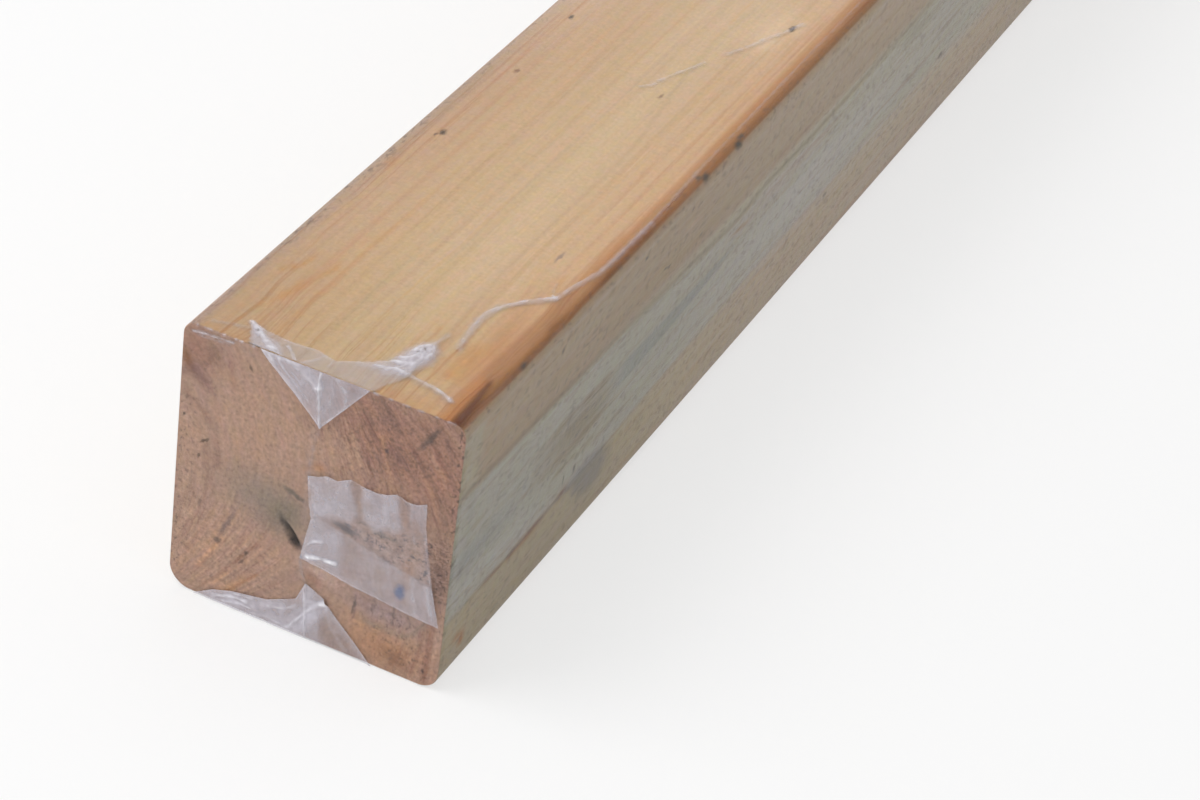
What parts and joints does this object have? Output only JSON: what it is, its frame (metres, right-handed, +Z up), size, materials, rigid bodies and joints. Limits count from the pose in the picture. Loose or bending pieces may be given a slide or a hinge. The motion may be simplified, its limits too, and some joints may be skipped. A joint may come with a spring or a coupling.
{
  "type": "timber post",
  "caption": "Square planed softwood post with rounded arrises, lying down in clear shrink film folded over its ends.",
  "frame": {"origin": "middle of the underside of the wrapped post, on the floor it lies on", "axes": "+Y along the post from the lapped film end to the far end, +X across it to the right, +Z up"},
  "size_m": [0.1154, 2.4012, 0.1204],
  "materials": {
    "timber": "planed, unpainted",
    "film": "clear, glossy, milky where doubled"
  },
  "bodies": {
    "root": {"timber_post": "timber", "film_wrap": "film"}
  },
  "joints": []
}
